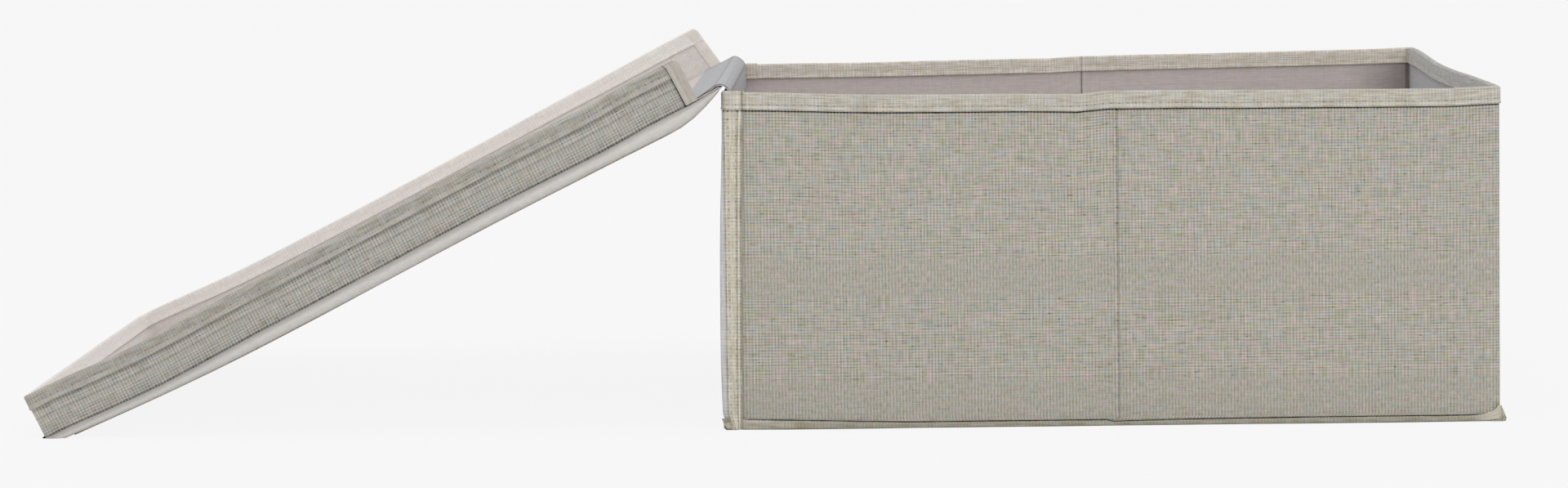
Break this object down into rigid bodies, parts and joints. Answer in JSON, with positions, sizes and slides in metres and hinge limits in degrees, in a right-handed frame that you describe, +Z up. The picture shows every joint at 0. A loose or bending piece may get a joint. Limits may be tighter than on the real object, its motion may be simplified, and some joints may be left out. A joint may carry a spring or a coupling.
{
  "type": "storage box",
  "caption": "Folding cloth-covered storage box with creased side walls, a loose base board and a hinged lid with lips on three sides, standing open.",
  "frame": {"origin": "middle of the box's flat underside, on the surface that it stands on", "axes": "+Z up, +X from the hinge wall towards the front wall, +Y towards the far side wall; the lid leans open towards -X"},
  "size_m": [0.7712, 0.4324, 0.1938],
  "materials": {
    "linen_cloth": "matt linen-look weave",
    "binding_tape": "matt woven tape",
    "lining_cloth": "matt plain lining",
    "hinge_cloth": "smooth matt cloth",
    "bottom_cloth": "matt plain cloth",
    "wadding": "soft fibre wadding",
    "grey_board": "matt grey board"
  },
  "bodies": {
    "hinge_wall": {"hinge_wall_board": "grey_board", "hinge_wall_cover": "linen_cloth", "hinge_wall_lining": "lining_cloth", "hinge_wall_rim_tape": "binding_tape", "near_corner_tape": "binding_tape", "far_corner_tape": "binding_tape", "bottom_binding": "binding_tape", "bottom_cover": "bottom_cloth", "hinge_strip_wall_leg": "hinge_cloth"},
    "near_rear_panel": {"near_rear_panel_board": "grey_board", "near_rear_panel_cover": "linen_cloth", "near_rear_panel_lining": "lining_cloth", "near_rear_panel_rim_tape": "binding_tape"},
    "near_front_panel": {"near_front_panel_board": "grey_board", "near_front_panel_cover": "linen_cloth", "near_front_panel_lining": "lining_cloth", "near_front_panel_rim_tape": "binding_tape"},
    "far_rear_panel": {"far_rear_panel_board": "grey_board", "far_rear_panel_cover": "linen_cloth", "far_rear_panel_lining": "lining_cloth", "far_rear_panel_rim_tape": "binding_tape"},
    "far_front_panel": {"far_front_panel_board": "grey_board", "far_front_panel_cover": "linen_cloth", "far_front_panel_lining": "lining_cloth", "far_front_panel_rim_tape": "binding_tape"},
    "front_wall": {"front_wall_board": "grey_board", "front_wall_cover": "linen_cloth", "front_wall_lining": "lining_cloth", "front_wall_rim_tape": "binding_tape"},
    "base_board": {"base_board": "grey_board", "base_wrap": "lining_cloth"},
    "hinge_strip_wall_half": {"hinge_strip_wall_fold": "hinge_cloth"},
    "hinge_strip_lid_half": {"hinge_strip_lid_fold": "hinge_cloth"},
    "lid": {"lid_board": "grey_board", "lid_cover": "linen_cloth", "lid_lining": "lining_cloth", "lid_padding": "wadding", "near_lip_cover": "linen_cloth", "near_lip_end_tape": "binding_tape", "near_lip_hem_tape": "binding_tape", "near_lip_lining": "lining_cloth", "near_lip_stiffener": "grey_board", "far_lip_cover": "linen_cloth", "far_lip_end_tape": "binding_tape", "far_lip_hem_tape": "binding_tape", "far_lip_lining": "lining_cloth", "far_lip_stiffener": "grey_board", "end_lip_cover": "linen_cloth", "end_lip_hem_tape": "binding_tape", "end_lip_lining": "lining_cloth", "end_lip_stiffener": "grey_board", "hinge_strip_lid_leg": "hinge_cloth"}
  },
  "joints": [
    {"name": "side_fold", "type": "hinge", "parent": "hinge_wall", "child": "near_rear_panel", "pos_m": [-0.1961, -0.2061, 0], "axis": [0, 0, 1], "range_deg": [0, 88]},
    {"name": "near_crease_fold", "type": "hinge", "parent": "near_rear_panel", "child": "near_front_panel", "pos_m": [0, -0.2109, 0], "axis": [0, 0, 1], "range_deg": [-176, 0]},
    {"name": "near_front_corner_fold", "type": "hinge", "parent": "near_front_panel", "child": "front_wall", "pos_m": [0.1961, -0.2061, 0], "axis": [0, 0, 1], "range_deg": [0, 88]},
    {"name": "far_rear_corner_fold", "type": "hinge", "parent": "hinge_wall", "child": "far_rear_panel", "pos_m": [-0.1961, 0.2061, 0], "axis": [0, 0, 1], "range_deg": [-88, 0]},
    {"name": "far_crease_fold", "type": "hinge", "parent": "far_rear_panel", "child": "far_front_panel", "pos_m": [0, 0.2109, 0], "axis": [0, 0, 1], "range_deg": [0, 176]},
    {"name": "lid_swing", "type": "hinge", "parent": "hinge_wall", "child": "lid", "pos_m": [-0.196, 0, 0.1771], "axis": [0, 1, 0], "range_deg": [0, 206.05]},
    {"name": "wall_fold_turn", "type": "hinge", "parent": "hinge_wall", "child": "hinge_strip_wall_half", "pos_m": [-0.196, 0, 0.1771], "axis": [0, 1, 0], "range_deg": [0, 103.02]},
    {"name": "lid_fold_turn", "type": "hinge", "parent": "lid", "child": "hinge_strip_lid_half", "pos_m": [-0.196, 0, 0.1771], "axis": [0, 1, 0], "range_deg": [-103.02, 0]},
    {"name": "base_board_lift", "type": "slide", "parent": "hinge_wall", "child": "base_board", "axis": [0, 0, 1], "range_m": [0, 0.26]}
  ],
  "couplings": [
    {"joint": "near_crease_fold", "follows": "side_fold", "ratio": -2},
    {"joint": "near_front_corner_fold", "follows": "side_fold", "ratio": 1},
    {"joint": "far_rear_corner_fold", "follows": "side_fold", "ratio": -1},
    {"joint": "far_crease_fold", "follows": "side_fold", "ratio": 2},
    {"joint": "wall_fold_turn", "follows": "lid_swing", "ratio": 0.5},
    {"joint": "lid_fold_turn", "follows": "lid_swing", "ratio": -0.5}
  ]
}
